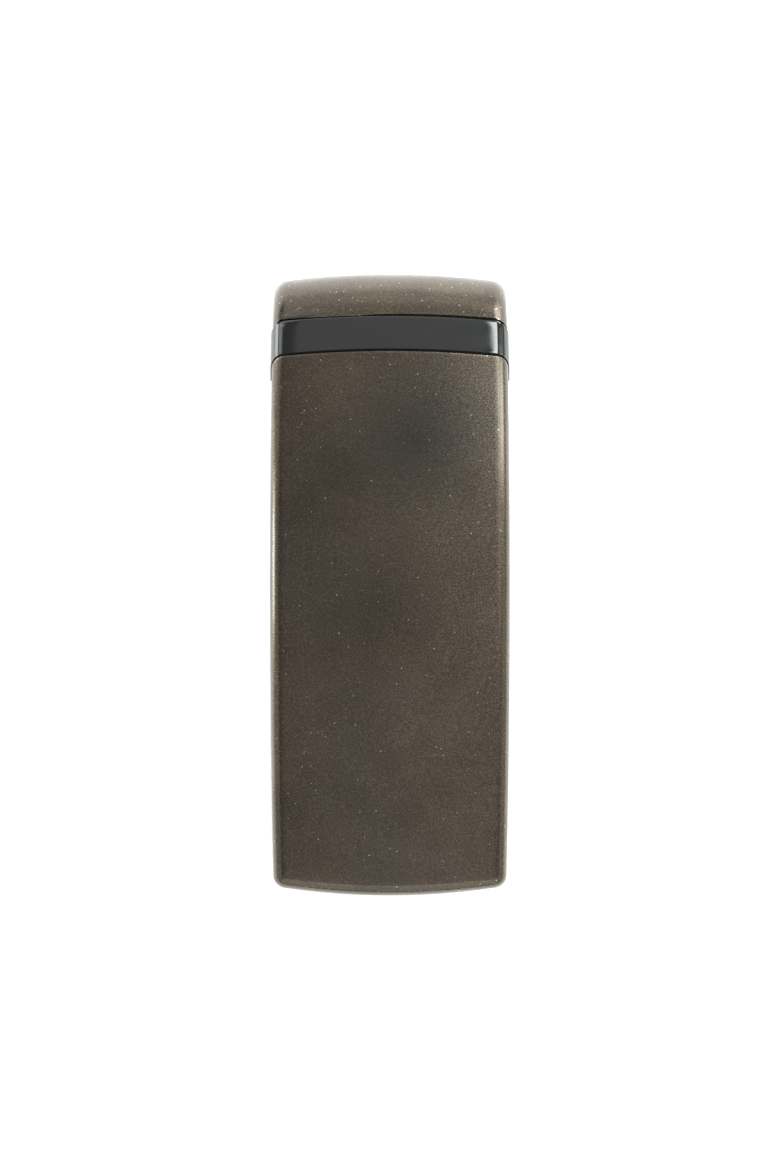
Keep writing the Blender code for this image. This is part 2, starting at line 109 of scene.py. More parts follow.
def addBlock(name, low, high):
    # a box between two corners, its place already in its mesh
    middle = [(a + b) / 2 for a, b in zip(low, high)]
    bpy.ops.object.select_all(action="DESELECT")
    bpy.ops.mesh.primitive_cube_add(size=1, location=middle)
    piece = bpy.context.active_object
    piece.name = name
    piece.scale = [b - a for a, b in zip(low, high)]
    bpy.ops.object.transform_apply(location=True, rotation=True, scale=True)
    return piece


def addRod(name, radius, start, end, sides=48):
    # a round bar between two points on a line along X, Y or Z
    start, end = Vector(start), Vector(end)
    bpy.ops.object.select_all(action="DESELECT")
    bpy.ops.mesh.primitive_cylinder_add(vertices=sides, radius=radius, depth=(end - start).length,
                                        location=(start + end) / 2)
    piece = bpy.context.active_object
    piece.name = name
    piece.rotation_mode = "QUATERNION"
    piece.rotation_quaternion = (end - start).to_track_quat("Z", "Y")
    bpy.ops.object.transform_apply(location=True, rotation=True, scale=True)
    return piece


def sliceAcross(piece, axis, low, high, gap):
    # extra edge loops, so that the form has something to bend
    count = max(1, round((high - low) / gap))
    for n in range(1, count):
        point, normal = [0, 0, 0], [0, 0, 0]
        point[axis] = low + (high - low) * n / count
        normal[axis] = 1
        pick(piece, "faces", lambda f: True)
        bpy.ops.mesh.bisect(plane_co=point, plane_no=normal)
    leaveEdit()


def cutAway(piece, point, normal):
    # takes off what lies beyond the plane, closes the cut and leaves its face selected
    pick(piece, "faces", lambda f: True)
    bpy.ops.mesh.bisect(plane_co=point, plane_no=normal, use_fill=True, clear_outer=True)
    leaveEdit()


def combine(piece, other, operation="DIFFERENCE"):
    selectOnly(piece)
    change = piece.modifiers.new(other.name, "BOOLEAN")
    change.operation = operation
    change.object = other
    bpy.ops.object.modifier_apply(modifier=change.name)
    bpy.data.objects.remove(other, do_unlink=True)


def weld(piece):
    pick(piece, "faces", lambda f: True)
    bpy.ops.mesh.remove_doubles(threshold=0.001 * mm)
    bpy.ops.mesh.normals_make_consistent(inside=False)
    leaveEdit()


def finishMesh(piece, angle=35):
    weld(piece)
    bpy.ops.object.shade_smooth_by_angle(angle=math.radians(angle))
    shape = bmesh.new()
    shape.from_mesh(piece.data)
    openEdges = sum(not e.is_manifold for e in shape.edges)
    shape.free()
    # a boolean that fails can still leave 0 open edges, so this count alone proves nothing
    print(f"  {piece.name}: {len(piece.data.polygons)} faces, {openEdges} open edges")


# the front's form, shared by the cover, the band and the cap

body = {
    "width": 20.0 * mm,
    "length": 51.92 * mm,
    "thickness": 8.0 * mm,
    "widestY": -0.5 * mm,
    "sideArc": 1136 * mm,
    "topEndArc": 78.5 * mm,
    "bottomEndArc": 67 * mm,
    "crown": 92.6 * mm,
    "bow": 400 * mm,
    "bowMiddleY": -2 * mm,
    "rim": 1.2 * mm,
    "rimSteps": 9,
    "roll": 4.5 * mm,
    "rollSteps": 16,
    "rearZ": 4.6 * mm,
    "seamSlant": 0.93,
    "upperSeamY": 22.36 * mm,
    "lowerSeamY": 19.48 * mm,
    # the booleans are touchy about these two: after a change, compare the pieces' volumes
    "seamGap": 0.15 * mm,
    "seamMargin": 0.19 * mm,
    "acrossGap": 1.25 * mm,
    "alongGap": 1.6 * mm,
    "blankFootZ": 3 * mm,
    "hollowFootZ": 1 * mm,
    "cageMiddleZ": 4 * mm,
    "cageSize": (30, 66, 16),  # in millimetres
    "cagePoints": (9, 23, 2),
}
highY = body["length"] / 2
lowY = -body["length"] / 2


def halfWidth(y):
    return body["width"] / 2 - (y - body["widestY"]) ** 2 / (2 * body["sideArc"])


def makeFormLattice():
    # a cage a little larger than the body, bent to the barrel sides, crown, bow and curved ends
    bpy.ops.object.select_all(action="DESELECT")
    bpy.ops.object.add(type="LATTICE", location=(0, 0, body["cageMiddleZ"]))
    cage = bpy.context.active_object
    cage.name = "formCage"
    size = Vector(body["cageSize"]) * mm
    cage.scale = size
    grid = cage.data
    grid.points_u, grid.points_v, grid.points_w = body["cagePoints"]
    for way in "uvw":
        setattr(grid, f"interpolation_type_{way}", "KEY_CATMULL_ROM")
    for point in grid.points:
        x, y, z = (a * b for a, b in zip(point.co, size))
        share = y / highY
        endArc = body["topEndArc"] if share > 0 else body["bottomEndArc"]
        newX = x * halfWidth(y) / (body["width"] / 2)
        newY = y - share ** 3 * x ** 2 / (2 * endArc)
        newZ = z - x ** 2 / (2 * body["crown"]) - (y - body["bowMiddleY"]) ** 2 / (2 * body["bow"])
        point.co_deform = (newX / size.x, newY / size.y, newZ / size.z)
    bpy.context.view_layer.update()
    return cage


def makeBlank(name, bottomZ, shrink=0.0, sink=0.0, rim=body["rim"]):
    # the whole front as one rounded block: end roll, then rim and corners, then the form
    halfX = body["width"] / 2 - shrink
    low, high = lowY + shrink, highY - shrink
    topZ = body["thickness"] - sink
    piece = addBlock(name, (-halfX, low, bottomZ), (halfX, high, topZ))
    pick(piece, "edges", lambda e: edgeMiddle(e).z > topZ - close and edgeMiddle(e).y > high - close)
    bpy.ops.mesh.bevel(offset=body["roll"], segments=body["rollSteps"], affect="EDGES")
    pick(piece, "edges", lambda e: isCorner(e) and edgeMiddle(e).z > bottomZ + close)
    bpy.ops.mesh.bevel(offset=rim, segments=body["rimSteps"], affect="EDGES")
    leaveEdit()
    sliceAcross(piece, 0, -halfX, halfX, body["acrossGap"])
    sliceAcross(piece, 1, low, high - body["roll"], body["alongGap"])
    selectOnly(piece)
    form = piece.modifiers.new("form", "LATTICE")
    form.object = formCage
    bpy.ops.object.modifier_apply(modifier=form.name)
    return piece


def cutSeam(piece, seamY, keepHigh, edgeSoft, lean=0.0, gap=body["seamGap"]):
    # the seams run back and down from the face, and each cut edge is broken by a fine bevel
    normal = Vector((lean, 1, -body["seamSlant"])).normalized()
    faceZ = body["thickness"] - (seamY - body["bowMiddleY"]) ** 2 / (2 * body["bow"])
    past = body["roll"] - (highY - seamY)
    if past > 0:
        faceZ -= body["roll"] - math.sqrt(body["roll"] ** 2 - past ** 2)
    side = 1 if keepHigh else -1
    point = Vector((0, seamY, faceZ)) + normal * side * gap / 2
    pick(piece, "faces", lambda f: True)
    bpy.ops.mesh.bisect(plane_co=point + normal * side * body["seamMargin"], plane_no=normal)
    cutAway(piece, point, normal * -side)
    seamWalls.append((point, normal))
    breakEdge(piece, lambda f: abs((f.calc_center_median() - point).dot(normal)) < flat
              and abs(f.normal.dot(normal)) > parallel, edgeSoft)


def breakEdge(piece, test, soft, segments=3):
    # bevels the outline of the faces that pass the test
    pick(piece, "faces", test)
    bpy.ops.mesh.region_to_loop()
    bpy.ops.mesh.bevel(offset=soft, segments=segments, affect="EDGES", clamp_overlap=True)
    leaveEdit()


formCage = makeFormLattice()
seamWalls = []

# front cover

cover = {
    "rim": 0.95 * mm,
    "wall": 1.1 * mm,
    "roof": 0.9 * mm,
    "seamEdge": 0.07 * mm,
    "rearEdge": 0.15 * mm,
    "bossRadius": 1.2 * mm,
    "bossHole": 0.5 * mm,
    "upperBossZ": 6.35 * mm,
    "lowerBossZ": 5.5 * mm,
    "bossTopZ": 7.2 * mm,
    "holeRoom": 0.15 * mm,  # above the screw's tip
    "holeStart": 1 * mm,  # below the boss
}
screws = {
    "upper": (4.6 * mm, 14.9 * mm),
    "lower": (5.6 * mm, -21.0 * mm),
    "upperTopZ": 6.9 * mm,
    "lowerTopZ": 6.7 * mm,
    "headRadius": 1.0 * mm,
    "headHeight": 0.45 * mm,
    "shankRadius": 0.42 * mm,
    "slotWidth": 0.25 * mm,
    "slotDepth": 0.2 * mm,
    "slotReach": 1.5 * mm,
    "slotTurns": (25, -60, 80, 10),  # degrees, one for each screw
    "tipEdge": 0.08 * mm,
    "headEdge": 0.06 * mm,
}


def screwPlaces():
    for row in ("upper", "lower"):
        for side, sign in (("left", -1), ("right", 1)):
            yield f"{row}_{side}", row, sign * screws[row][0], screws[row][1]


def makeFrontCover():
    piece = makeBlank("front_cover_skin", body["blankFootZ"], rim=cover["rim"])
    cutSeam(piece, body["lowerSeamY"], False, cover["seamEdge"])
    cutAway(piece, (0, 0, body["rearZ"]), (0, 0, -1))
    breakEdge(piece, lambda f: f.normal.z < -0.99, cover["rearEdge"])
    weld(piece)
    combine(piece, makeBlank("hollow", body["hollowFootZ"], cover["wall"], cover["roof"]))
    for name, row, x, y in screwPlaces():
        bottom = cover[row + "BossZ"]
        boss = addRod("boss", cover["bossRadius"], (x, y, bottom), (x, y, cover["bossTopZ"]))
        combine(piece, boss, "UNION")
        topZ = screws[row + "TopZ"] + cover["holeRoom"]
        startZ = bottom - cover["holeStart"]
        combine(piece, addRod("bossHole", cover["bossHole"], (x, y, startZ), (x, y, topZ)))
    finishMesh(piece)
    return piece


frontCover = makeFrontCover()
print("front cover made")

# accent band

band = {
    "proud": 0.13 * mm,
    "wall": 0.95 * mm,
    "roof": 0.75 * mm,
    "seamEdge": 0.05 * mm,
}


def makeAccentBand():
    piece = makeBlank("accent_band_skin", body["blankFootZ"], -band["proud"])
    cutSeam(piece, body["upperSeamY"], False, band["seamEdge"])
    cutSeam(piece, body["lowerSeamY"], True, band["seamEdge"])
    cutAway(piece, (0, 0, body["rearZ"]), (0, 0, -1))
    combine(piece, makeBlank("hollow", body["hollowFootZ"], band["wall"], band["roof"]))
    finishMesh(piece)
    return piece


accentBand = makeAccentBand()
print("accent band made")

# top cap, with its tongue, bore and cheeks

hinge = {
    "y": 20.9 * mm,
    "z": 3.1 * mm,
    "pinRadius": 0.9 * mm,
    "pinHole": 0.95 * mm,
    "pinHalfLength": 9.7 * mm,
    "pinEdge": 0.12 * mm,
}
cap = {
    "rearZ": 0.3 * mm,
    "rearEdge": 0.25 * mm,
    "seamEdge": 0.07 * mm,
    "seamLean": -0.009,
    "seamGap": 0.19 * mm,
    "boreRadius": 3.95 * mm,
    "boreRoofZ": 5.5 * mm,
    "cheekInnerX": 8.3 * mm,
    "cheekRadius": 4.6 * mm,
    "tongueThickness": 0.7 * mm,
    "tongueHalfWidth": 5.9 * mm,
    "tongueEndY": 13.2 * mm,
    "tongueCorner": 1.2 * mm,
    "tongueRootY": 22.9 * mm,
    "wayEndY": 10 * mm,
    "aroundLowZ": -4 * mm,
    "blankFootZ": -1 * mm,
    "screwHole": 0.5 * mm,
    "legHole": 0.5 * mm,
    "holeLowZ": 4 * mm,
    "screwHoleTopZ": 7.5 * mm,
    "legHoleTopZ": 6.8 * mm,
}
coil = {
    "wire": 0.4 * mm,
    "radius": 1.45 * mm,
    "pitch": 0.86 * mm,
    "turns": 6.25,
    "startX": 0.95 * mm,
    "stepsPerTurn": 24,
    "wireSides": 14,
    "legTopZ": 6.0 * mm,
    "tangBend": 0.5 * mm,
    "tangEndX": 7.5 * mm,
}


def addHingeRod(name, radius, lowX, highX, sides=48):
    # a round bar along the hinge's axis
    return addRod(name, radius, (lowX, hinge["y"], hinge["z"]), (highX, hinge["y"], hinge["z"]), sides)


def makeTopCap():
    piece = makeBlank("top_cap_skin", cap["blankFootZ"])
    cutSeam(piece, body["upperSeamY"], True, cap["seamEdge"], cap["seamLean"], cap["seamGap"])
    cutAway(piece, (0, 0, cap["rearZ"]), (0, 0, -1))
    breakEdge(piece, lambda f: f.normal.z < -0.99, cap["rearEdge"])
    half, topZ = cap["tongueHalfWidth"], cap["boreRoofZ"] + cap["tongueThickness"]
    tongue = addBlock("tongue", (-half, cap["tongueEndY"], cap["boreRoofZ"]),
                      (half, cap["tongueRootY"], topZ))
    pick(tongue, "edges", lambda e: abs(edgeMiddle(e).z - (cap["boreRoofZ"] + topZ) / 2) < close
         and edgeMiddle(e).y < cap["tongueEndY"] + close)
    bpy.ops.mesh.bevel(offset=cap["tongueCorner"], segments=8, affect="EDGES")
    leaveEdit()
    combine(piece, tongue, "UNION")
    # the bore for the arm's heel: a round cutter squared off towards the arm
    inner = cap["cheekInnerX"]
    bore = addHingeRod("bore", cap["boreRadius"], -inner, inner, 96)
    cutAway(bore, (0, 0, cap["boreRoofZ"]), (0, 0, 1))
    way = addBlock("way", (-inner, cap["wayEndY"], hinge["z"] - cap["boreRadius"]),
                   (inner, hinge["y"], cap["boreRoofZ"]))
    combine(bore, way, "UNION")
    combine(piece, bore)
    # each cheek ends in an arc about the pin
    around = addBlock("around", (-outside, cap["wayEndY"], cap["aroundLowZ"]),
                      (outside, hinge["y"], hinge["z"]))
    disc = addHingeRod("disc", cap["cheekRadius"], -farOutside, farOutside, 96)
    combine(around, disc)
    combine(piece, around)
    combine(piece, addHingeRod("pinHole", hinge["pinHole"], -outside, outside))
    for name, row, x, y in screwPlaces():
        if row == "upper":
            combine(piece, addRod("screwHole", cap["screwHole"], (x, y, cap["holeLowZ"]),
                                  (x, y, cap["screwHoleTopZ"])))
    for sign in (-1, 1):
        x, y = sign * coil["startX"], hinge["y"] - coil["radius"]
        combine(piece, addRod("legHole", cap["legHole"], (x, y, cap["holeLowZ"]),
                              (x, y, cap["legHoleTopZ"])))
    finishMesh(piece)
    return piece


topCap = makeTopCap()
print("top cap made")

# clamp arm: a leaf that rises to grip, a neck under the springs, a round heel and two ears

arm = {
    "thickness": 1.5 * mm,
    "halfWidth": 9.8 * mm,
    "tipY": -25.75 * mm,
    "tipCorner": 2.2 * mm,
    "tipArc": 67 * mm,
    "edge": 0.32 * mm,
    "shoulderRadius": 4.95 * mm,
    "liftStartY": -6 * mm,
    "contactY": -18.5 * mm,
    "contactMiddleZ": 3.65 * mm,
    "contactThickness": 1.3 * mm,
    "tipThickness": 0.9 * mm,
    "tipMiddleZ": 2.0 * mm,
    "neckHalfWidth": 8.05 * mm,
    "neckThickness": 1.0 * mm,
    "heelInner": 2.6 * mm,
    "heelOuter": 3.6 * mm,
    "heelTurn": 62,
    "heelEdge": 0.2 * mm,
    "earInnerX": 6.9 * mm,
    "earRadius": 2.0 * mm,
    "earFootZ": 0.5 * mm,
    "footBack": 2.6 * mm,
    "footFront": 1.8 * mm,
    "footTop": 0.5 * mm,
    "footLean": 0.72 * mm,
    "tangHole": 0.45 * mm,
    "leafEndY": 17.6 * mm,
    "sideInset": 0.2 * mm,
    "heelStartY": 15.9 * mm,
    "heelFloorZ": 0.02 * mm,
    "cageSize": (24 * mm, 56 * mm),
    "cagePoints": (7, 57, 2),
    "alongGap": 1.0 * mm,
    "acrossGap": 2.45 * mm,
}


def leafShape(y):
    # the leaf's middle height and thickness at y
    share = (arm["liftStartY"] - y) / (arm["liftStartY"] - arm["contactY"])
    if share <= 0:
        return arm["thickness"] / 2, arm["thickness"]
    if share <= 1:
        eased = share * share * (3 - 2 * share)
        middle = arm["thickness"] / 2 + (arm["contactMiddleZ"] - arm["thickness"] / 2) * eased
        return middle, arm["thickness"] + (arm["contactThickness"] - arm["thickness"]) * share
    past = (arm["contactY"] - y) / (arm["contactY"] - arm["tipY"])
    middle = arm["contactMiddleZ"] + (arm["tipMiddleZ"] - arm["contactMiddleZ"]) * past ** 2
    return middle, arm["contactThickness"] + (arm["tipThickness"] - arm["contactThickness"]) * past


def makeLeafLattice():
    bpy.ops.object.select_all(action="DESELECT")
    bpy.ops.object.add(type="LATTICE", location=(0, 0, arm["thickness"] / 2))
    cage = bpy.context.active_object
    cage.name = "leafCage"
    size = Vector((*arm["cageSize"], arm["thickness"]))
    cage.scale = size
    grid = cage.data
    grid.points_u, grid.points_v, grid.points_w = arm["cagePoints"]
    grid.interpolation_type_u = grid.interpolation_type_v = "KEY_CATMULL_ROM"
    grid.interpolation_type_w = "KEY_LINEAR"
    for point in grid.points:
        x, y, z = (a * b for a, b in zip(point.co, size))
        middle, thickness = leafShape(y)
        tipShare = min(1.0, max(0.0, (arm["contactY"] - y) / (arm["contactY"] - arm["tipY"])))
        newX = x * (halfWidth(y) - arm["sideInset"]) / arm["halfWidth"]
        newY = y + x ** 2 / (2 * arm["tipArc"]) * tipShare
        newZ = middle - arm["thickness"] / 2 + (thickness / 2 if z > 0 else -thickness / 2)
        point.co_deform = (newX / size.x, newY / size.y, newZ / size.z)
    bpy.context.view_layer.update()
    return cage


def makeLeaf():
    half, tip, thick = arm["halfWidth"], arm["tipY"], arm["thickness"]
    leaf = addBlock("clamp_arm_leaf", (-half, tip, 0), (half, arm["leafEndY"], thick))
    pick(leaf, "edges", lambda e: edgeMiddle(e).y < tip + close
         and abs(edgeMiddle(e).z - thick / 2) < close)
    bpy.ops.mesh.bevel(offset=arm["tipCorner"], segments=10, affect="EDGES")
    pick(leaf, "edges", lambda e: isCorner(e) and edgeMiddle(e).y < arm["leafEndY"] - close
         and abs(edgeMiddle(e).z - thick / 2) > 0.4 * thick)
    bpy.ops.mesh.bevel(offset=arm["edge"], segments=4, affect="EDGES")
    leaveEdit()
    sliceAcross(leaf, 0, -half, half, arm["acrossGap"])
    sliceAcross(leaf, 1, tip, arm["leafEndY"], arm["alongGap"])
    cage = makeLeafLattice()
    selectOnly(leaf)
    form = leaf.modifiers.new("form", "LATTICE")
    form.object = cage
    bpy.ops.object.modifier_apply(modifier=form.name)
    bpy.data.objects.remove(cage, do_unlink=True)
    disc = addHingeRod("disc", arm["shoulderRadius"], -farOutside, farOutside, 128)
    combine(leaf, disc)
    return leaf


def makeHeel():
    # the neck's end face is turned about the pin to make the heel
    half, thick = arm["neckHalfWidth"], arm["neckThickness"]
    inner, outer = arm["heelInner"], arm["heelOuter"]
    floorZ = arm["heelFloorZ"]
    innerY = hinge["y"] + math.sqrt(inner ** 2 - (hinge["z"] - thick) ** 2)
    outerY = hinge["y"] + math.sqrt(outer ** 2 - (hinge["z"] - floorZ) ** 2)
    heel = addBlock("heel", (-half, arm["heelStartY"], floorZ), (half, innerY, thick))
    pick(heel, "verts", lambda v: v.co.y > hinge["y"] and v.co.z < thick / 2)
    bpy.ops.transform.translate(value=(0, outerY - innerY, 0))
    pick(heel, "faces", lambda f: f.calc_center_median().y > hinge["y"] and abs(f.normal.x) < 0.1
         and f.normal.y > 0.9)
    bpy.ops.mesh.spin(steps=20, angle=-math.radians(arm["heelTurn"]), axis=(1, 0, 0),
                      center=(0, hinge["y"], hinge["z"]))
    leaveEdit()
    breakEdge(heel, lambda f: f.normal.z > 0.9 and f.calc_center_median().z > 2.5 * mm, arm["heelEdge"])
    return heel


def makeEar(sign):
    ends = sorted((sign * arm["earInnerX"], sign * arm["neckHalfWidth"]))
    ear = addHingeRod("ear", arm["earRadius"], ends[0], ends[1], 64)
    foot = addBlock("foot", (ends[0], hinge["y"] - arm["footBack"], arm["earFootZ"]),
                    (ends[1], hinge["y"] + arm["footFront"], hinge["z"] - arm["footTop"]))
    pick(foot, "verts", lambda v: v.co.y < hinge["y"] and v.co.z > 1 * mm)
    bpy.ops.transform.translate(value=(0, arm["footLean"], 0))
    leaveEdit()
    combine(ear, foot, "UNION")
    return ear


def makeClampArm():
    piece = makeLeaf()
    combine(piece, makeHeel(), "UNION")
    for sign in (-1, 1):
        combine(piece, makeEar(sign), "UNION")
    combine(piece, addHingeRod("pinHole", hinge["pinHole"], -outside, outside))
    tangY, tangZ = hinge["y"] + coil["tangBend"], hinge["z"] - coil["radius"]
    combine(piece, addRod("tangHole", arm["tangHole"], (-outside, tangY, tangZ),
                          (outside, tangY, tangZ), 24))
    finishMesh(piece)
    return piece


clampArm = makeClampArm()
print("clamp arm made")

# hinge pin


def makeHingePin():
    half = hinge["pinHalfLength"]
    pin = addHingeRod("hinge_pin_turned", hinge["pinRadius"], -half, half, 64)
    breakEdge(pin, lambda f: abs(f.normal.x) > 0.99, hinge["pinEdge"])
    finishMesh(pin)
    return pin


hingePin = makeHingePin()
print("hinge pin made")

# torsion springs: a leg down from the tongue, the coil, and a tang into the arm's ear


def makeSpring(name):
    startY = hinge["y"] - coil["radius"]
    bpy.ops.object.select_all(action="DESELECT")
    bpy.ops.mesh.primitive_circle_add(vertices=coil["wireSides"], radius=coil["wire"],
                                      fill_type="NOTHING",
                                      location=(coil["startX"], startY, hinge["z"]))
    piece = bpy.context.active_object
    piece.name = name
    bpy.ops.object.transform_apply(location=True, rotation=True, scale=True)
    bpy.ops.object.empty_add(location=(0, hinge["y"], hinge["z"]))
    axis = bpy.context.active_object
    selectOnly(piece)
    wind = piece.modifiers.new("wind", "SCREW")
    wind.object = axis
    wind.axis = "X"
    wind.angle = 2 * math.pi * coil["turns"]
    wind.screw_offset = coil["pitch"] * coil["turns"]
    wind.steps = wind.render_steps = round(coil["turns"] * coil["stepsPerTurn"])
    wind.merge_threshold = 0.0001 * mm
    bpy.ops.object.modifier_apply(modifier=wind.name)
    bpy.data.objects.remove(axis, do_unlink=True)
    endX = coil["startX"] + coil["pitch"] * coil["turns"]
    middleX = (coil["startX"] + endX) / 2
    # the leg goes straight up into the tongue
    pick(piece, "edges", lambda e: e.is_boundary and edgeMiddle(e).x < middleX)
    bpy.ops.mesh.edge_face_add()
    bpy.ops.mesh.extrude_region_move(
        TRANSFORM_OT_translate={"value": (0, 0, coil["legTopZ"] - hinge["z"])})
    # the tang turns outwards and goes into the ear
    pick(piece, "edges", lambda e: e.is_boundary and edgeMiddle(e).x > middleX)
    bpy.ops.mesh.edge_face_add()
    bpy.ops.mesh.spin(steps=6, angle=math.pi / 2, axis=(0, 0, 1),
                      center=(endX + coil["tangBend"], hinge["y"], hinge["z"] - coil["radius"]))
    bpy.ops.mesh.extrude_region_move(
        TRANSFORM_OT_translate={"value": (coil["tangEndX"] - endX - coil["tangBend"], 0, 0)})
    leaveEdit()
    finishMesh(piece, 50)
    return piece


springRight = makeSpring("torsion_spring_right_coil")
springLeft = springRight.copy()
springLeft.data = springRight.data.copy()
springLeft.name = "torsion_spring_left_coil"
bpy.context.collection.objects.link(springLeft)
pick(springLeft, "faces", lambda f: True)
bpy.ops.transform.resize(value=(-1, 1, 1), center_override=(0, 0, 0))
leaveEdit()
finishMesh(springLeft, 50)
print("torsion springs made")

# plate screws: one is modelled, then copied to each hole with its slot turned


def makeScrew():
    rear, top = body["rearZ"], screws["lowerTopZ"]
    headTop = rear + screws["headHeight"]
    bpy.ops.object.select_all(action="DESELECT")
    bpy.ops.mesh.primitive_cone_add(vertices=48, radius1=screws["headRadius"],
                                    radius2=screws["shankRadius"], depth=screws["headHeight"],
                                    location=(0, 0, (rear + headTop) / 2))
    piece = bpy.context.active_object
    bpy.ops.object.transform_apply(location=True, rotation=True, scale=True)
    pick(piece, "faces", lambda f: f.normal.z > 0.9)
    bpy.ops.mesh.extrude_region_move(TRANSFORM_OT_translate={"value": (0, 0, top - headTop)})
    bpy.ops.mesh.region_to_loop()
    bpy.ops.mesh.bevel(offset=screws["tipEdge"], segments=2, affect="EDGES")
    leaveEdit()
    breakEdge(piece, lambda f: f.normal.z < -0.9, screws["headEdge"])
    half, reach = screws["slotWidth"] / 2, screws["slotReach"]
    slot = addBlock("slot", (-reach, -half, rear - 1 * mm), (reach, half, rear + screws["slotDepth"]))
    combine(piece, slot)
    return piece


firstScrew = makeScrew()
plateScrews = []
for turn, (place, row, x, y) in zip(screws["slotTurns"], screwPlaces()):
    screw = firstScrew.copy()
    screw.data = firstScrew.data.copy()
    screw.name = f"plate_screw_{place}_slotted"
    bpy.context.collection.objects.link(screw)
    pick(screw, "faces", lambda f: True)
    bpy.ops.transform.rotate(value=math.radians(turn), orient_axis="Z", center_override=(0, 0, 0))
    bpy.ops.transform.translate(value=(x, y, 0))
    leaveEdit()
    finishMesh(screw)
    plateScrews.append((screw, f"plate_screw_{place}"))
bpy.data.objects.remove(firstScrew, do_unlink=True)
print("plate screws made")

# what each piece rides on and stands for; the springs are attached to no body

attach(clampArm, "arm")
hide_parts("clamp_arm")
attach(hingePin, "front")
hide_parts("hinge_pin")
for screw, node in plateScrews:
    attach(screw, "front")
    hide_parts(node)
for spring, node, sign in ((springRight, "torsion_spring_right", 1),
                           (springLeft, "torsion_spring_left", -1)):
    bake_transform(spring)
    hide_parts(node)
for piece, node in ((frontCover, "front_cover"), (accentBand, "accent_band"), (topCap, "top_cap")):
    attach(piece, "front")
    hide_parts(node)

bpy.data.objects.remove(formCage, do_unlink=True)

# finishes: all procedural, on object coordinates, with attributes from the shape: one lightens edges as
# wear and painted highlight, one marks seam walls for painted shade


def markWearAndPaintedLight(piece, fullCurve=0.16 * mm):
    # each point's wear and painted highlight is how tightly the surface turns there: 1 on a sharp edge,
    # 0 on a flat
    shape = bmesh.new()
    shape.from_mesh(piece.data)
    layer = shape.verts.layers.float.new("edgeWearAndSheen")
    paintedSeamShade = shape.verts.layers.float.new("paintedSeamShade")
    for vert in shape.verts:
        turning = 0.0
        for edge in vert.link_edges:
            if len(edge.link_faces) == 2 and edge.is_convex:
                near = min(f.calc_area() / max(edge.calc_length(), 1e-9) for f in edge.link_faces)
                turning = max(turning, edge.calc_face_angle(0.0) * fullCurve / max(near, 0.02 * mm))
        vert[layer] = min(1.0, turning)
        # points on a seam wall are marked for painted shade: the finish paints them nearly black
        vert[paintedSeamShade] = float(any(onSeamWall(piece, f) for f in vert.link_faces))
    shape.to_mesh(piece.data)
    shape.free()


def onSeamWall(piece, face):
    middle = piece.matrix_world @ face.calc_center_median()
    return any(abs((middle - point).dot(normal)) < flat and abs(face.normal.dot(normal)) > parallel
               for point, normal in seamWalls)


